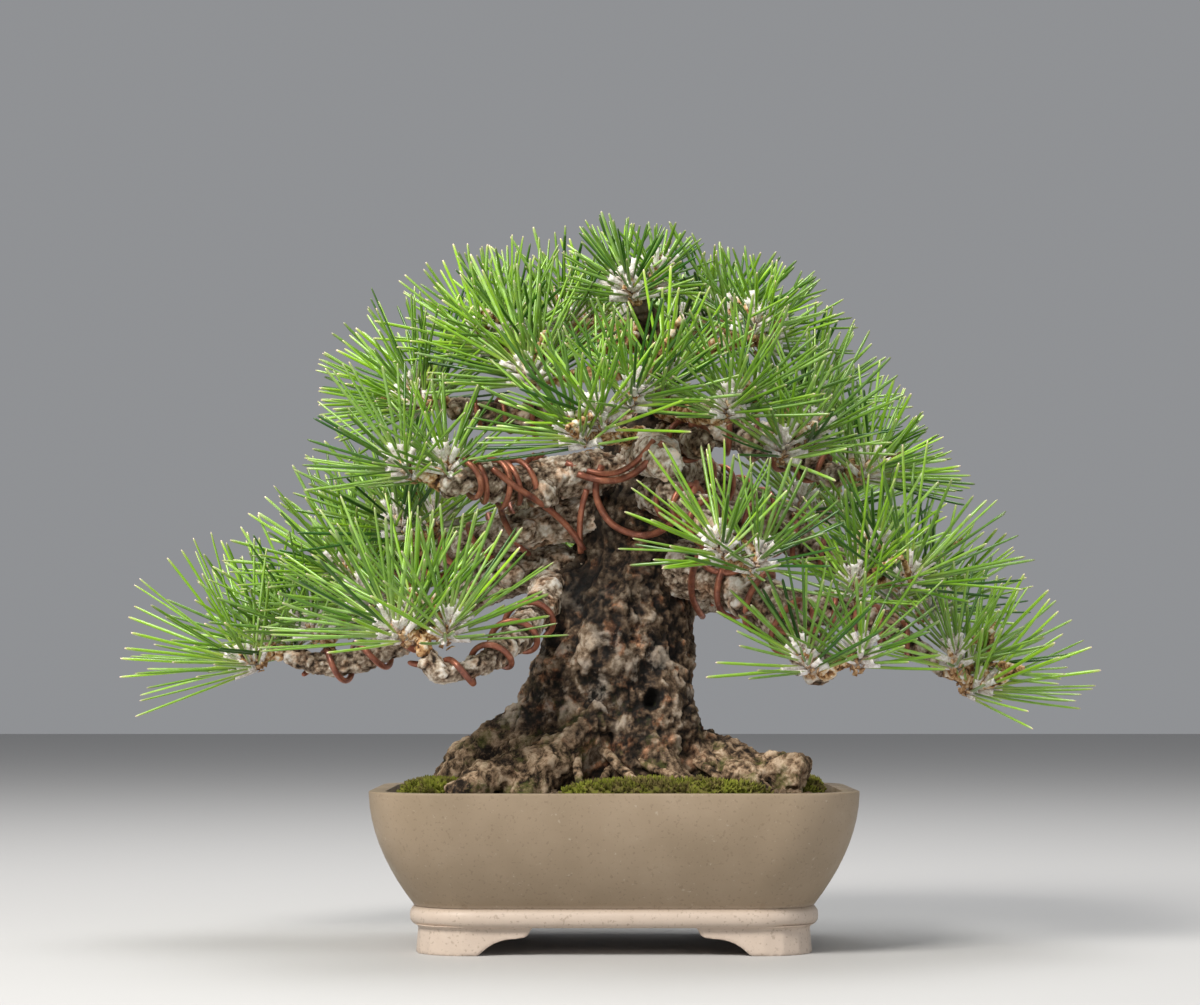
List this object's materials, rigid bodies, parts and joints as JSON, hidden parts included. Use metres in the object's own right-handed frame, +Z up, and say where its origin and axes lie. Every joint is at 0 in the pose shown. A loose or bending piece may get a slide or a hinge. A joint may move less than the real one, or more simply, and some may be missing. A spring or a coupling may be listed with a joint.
{
  "type": "bonsai tree in a pot",
  "caption": "Shohin pine bonsai with a thick gnarled trunk, wired branches and long needle tufts, in an unglazed rectangular stoneware pot on cloud feet.",
  "frame": {"origin": "on the surface the pot stands on, below the middle of the whole plant's extent", "axes": "+X along the pot's long side, to the right seen from the front; +Y away from the viewer; +Z up"},
  "size_m": [0.337, 0.2294, 0.2464],
  "materials": {
    "stoneware": "unglazed tan stoneware, satin, fine dark speckle",
    "soil": "damp dark granular soil, matt",
    "moss": "short bright green moss, matt",
    "trunk_bark": "dark fissured pine bark with pale flakes",
    "branch_bark": "grey-brown scaly young bark",
    "copper_wire": "annealed copper, brown patina",
    "needles": "living pine needles, satin green",
    "screen": "black plastic mesh",
    "aluminium_wire": "soft aluminium wire"
  },
  "bodies": {
    "root": {"anchor_wire": "aluminium_wire", "branch_back": "branch_bark", "branch_back_left": "branch_bark", "branch_back_low_right": "branch_bark", "branch_back_right": "branch_bark", "branch_front_right": "branch_bark", "branch_high_left": "branch_bark", "branch_low_left": "branch_bark", "branch_low_left_front": "branch_bark", "branch_low_right": "branch_bark", "branch_low_right_outer": "branch_bark", "branch_mid_left": "branch_bark", "branch_mid_left_front": "branch_bark", "branch_mid_right": "branch_bark", "branch_mid_right_lower": "branch_bark", "drain_screen_left": "screen", "drain_screen_right": "screen", "moss_front": "moss", "moss_left": "moss", "moss_right": "moss", "pot": "stoneware", "screen_clip_left": "aluminium_wire", "screen_clip_right": "aluminium_wire", "shoot_apex": "needles", "shoot_apex_back_left": "needles", "shoot_apex_back_right": "needles", "shoot_back": "needles", "shoot_back_left": "needles", "shoot_back_low_right": "needles", "shoot_back_right": "needles", "shoot_front_centre": "needles", "shoot_front_centre_left": "needles", "shoot_front_centre_right": "needles", "shoot_front_left": "needles", "shoot_front_right": "needles", "shoot_high_left": "needles", "shoot_low_left_mid": "needles", "shoot_low_left_tip": "needles", "shoot_low_left_upper": "needles", "shoot_low_right_front": "needles", "shoot_low_right_tip": "needles", "shoot_mid_left_front": "needles", "shoot_mid_left_side": "needles", "shoot_mid_left_tip": "needles", "shoot_mid_right_front": "needles", "shoot_mid_right_lower": "needles", "shoot_mid_right_tip": "needles", "shoot_shoulder_right": "needles", "shoot_top_left": "needles", "shoot_top_left_back": "needles", "shoot_top_right": "needles", "soil": "soil", "stub_front": "branch_bark", "trunk": "trunk_bark", "wire_low_left": "copper_wire", "wire_low_left_front": "copper_wire", "wire_low_right": "copper_wire", "wire_mid_left": "copper_wire", "wire_mid_left_front": "copper_wire", "wire_mid_right": "copper_wire"}
  },
  "joints": []
}
